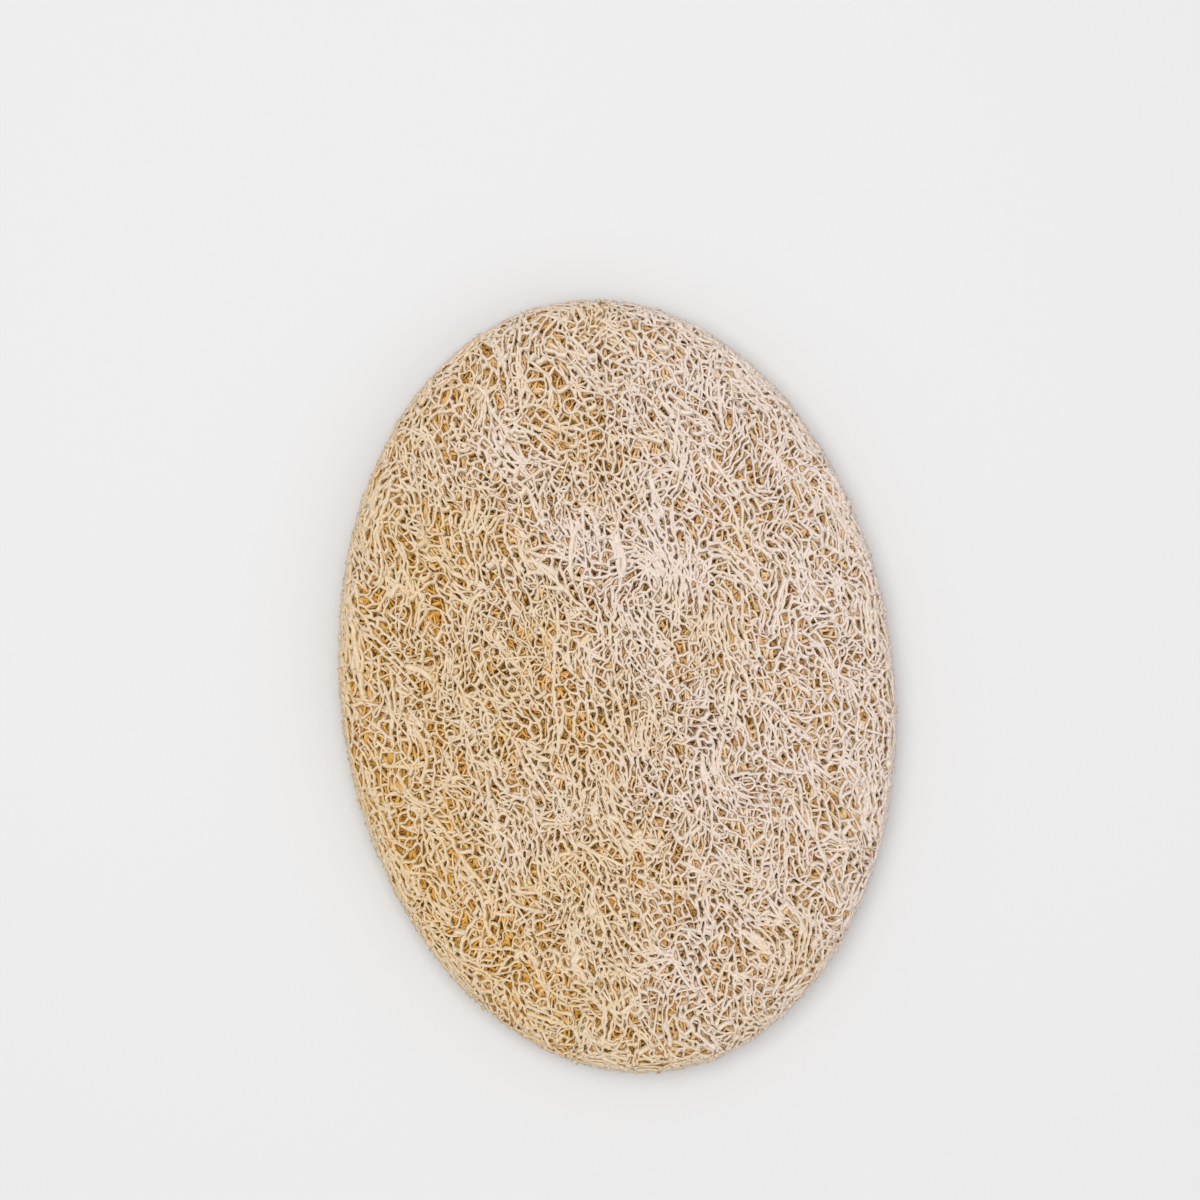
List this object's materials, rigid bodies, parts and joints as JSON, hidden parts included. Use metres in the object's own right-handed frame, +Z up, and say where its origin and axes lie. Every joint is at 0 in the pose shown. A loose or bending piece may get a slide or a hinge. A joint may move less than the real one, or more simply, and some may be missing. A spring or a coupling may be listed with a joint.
{
  "type": "natural loofah sponge",
  "caption": "Oval scrubbing pad cut from one flattened piece of natural loofah, with an open fibre net over both faces and the rounded edge.",
  "frame": {"origin": "middle of the pad's back, on the surface that the pad lies on", "axes": "+Y along the pad's long axis, +X across it, +Z up out of the scrubbing face"},
  "size_m": [0.1106, 0.155, 0.014],
  "materials": {
    "loofah_fibre": "dry, matt plant fibre: pale cream on the outer fibres, golden to brown down in the gaps"
  },
  "bodies": {
    "root": {"loofah_pad": "loofah_fibre"}
  },
  "joints": []
}
